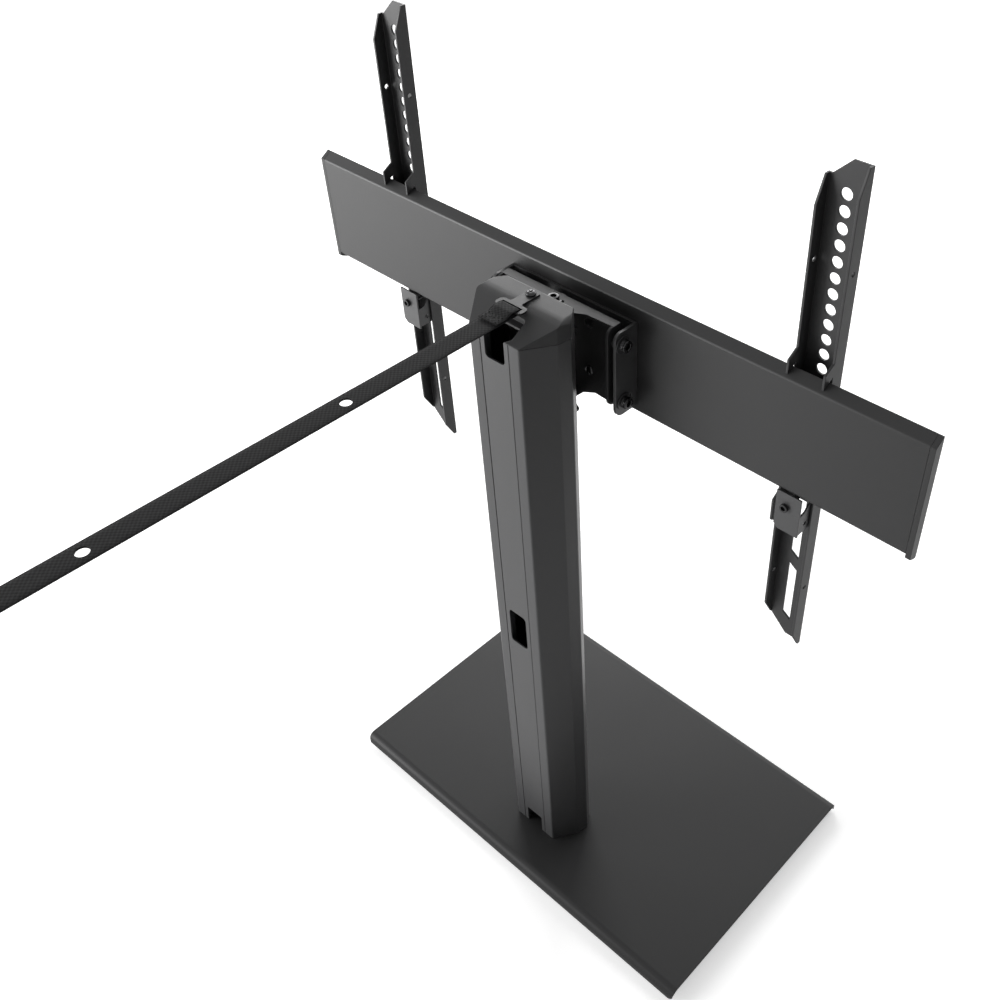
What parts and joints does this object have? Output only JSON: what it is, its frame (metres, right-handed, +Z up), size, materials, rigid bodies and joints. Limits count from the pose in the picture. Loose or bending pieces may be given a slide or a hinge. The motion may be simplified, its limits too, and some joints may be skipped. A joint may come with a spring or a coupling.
{
  "type": "tv stand with mount",
  "caption": "Black floor stand for a screen: flat base plate, hollow cable pillar, swivel and tilt head, wide rail with hook-on sliding arms, and a taut webbing strap to a wall.",
  "frame": {"origin": "on the floor under the centre of the base plate", "axes": "+Z up; the screen's side faces -Y; +Y is the rear, where the strap runs to the wall; +X is the stand's left as seen from behind in the picture, so the upper left end of the rail there"},
  "size_m": [0.666, 0.677, 0.876],
  "materials": {
    "base_coat": "fine matt black powder coat",
    "foot_rubber": "dull black rubber",
    "screws": "black screws with a slight shine",
    "pillar_coat": "extruded aluminium with a matt black powder coat",
    "cover_plastic": "matt black plastic",
    "cap_plastic": "fine-grained black plastic",
    "bare_block": "plain drilled block",
    "bracket_coat": "satin black coat on bent sheet",
    "bush_plastic": "black nylon",
    "webbing": "black woven webbing",
    "rail_coat": "matt black powder coat on bent sheet"
  },
  "bodies": {
    "stand": {"base_plate": "base_coat", "base_feet": "foot_rubber", "foot_screws": "screws", "pillar_shell": "pillar_coat", "cable_cover": "cover_plastic", "pillar_cap": "cap_plastic", "head_block": "bare_block", "head_mount": "bracket_coat", "head_mount_bolts": "screws", "swivel_bushes": "bush_plastic", "swivel_stop": "screws", "strap_clip": "bracket_coat", "clip_screw": "screws", "strap": "webbing", "strap_anchor": "bracket_coat", "anchor_screw": "screws"},
    "swivel_head": {"swivel_bracket": "bracket_coat", "stop_rivets": "screws", "swivel_bolt": "screws", "swivel_nut": "screws", "tilt_pivot_bolts": "screws", "tilt_lock_bolts": "screws", "tilt_washers": "bush_plastic", "tilt_nuts": "screws"},
    "rail_head": {"tilt_bracket": "rail_coat", "rail": "rail_coat", "left_end_cap": "cap_plastic", "right_end_cap": "cap_plastic", "rail_bolts": "screws", "rail_nuts": "screws"},
    "left_arm_body": {"left_arm": "rail_coat"},
    "right_arm_body": {"right_arm": "rail_coat"},
    "left_lock": {"left_lock_plate": "bracket_coat", "left_lock_screw": "screws", "left_lock_nut": "screws"},
    "right_lock": {"right_lock_plate": "bracket_coat", "right_lock_screw": "screws", "right_lock_nut": "screws"}
  },
  "joints": [
    {"name": "head_swivel", "type": "hinge", "parent": "stand", "child": "swivel_head", "pos_m": [0, 0.0372, 0.6995], "axis": [0, 0, 1], "range_deg": [-20, 20]},
    {"name": "rail_tilt", "type": "hinge", "parent": "swivel_head", "child": "rail_head", "pos_m": [0, 0.0326, 0.6875], "axis": [1, 0, 0], "range_deg": [-3, 7]},
    {"name": "left_arm_slide", "type": "slide", "parent": "rail_head", "child": "left_arm_body", "axis": [1, 0, 0], "range_m": [-0.1245, 0.075]},
    {"name": "right_arm_slide", "type": "slide", "parent": "rail_head", "child": "right_arm_body", "axis": [1, 0, 0], "range_m": [-0.075, 0.1245]},
    {"name": "left_lock_slide", "type": "slide", "parent": "left_arm_body", "child": "left_lock", "axis": [0, 0, 1], "range_m": [0, 0.006]},
    {"name": "right_lock_slide", "type": "slide", "parent": "right_arm_body", "child": "right_lock", "axis": [0, 0, 1], "range_m": [0, 0.006]}
  ]
}
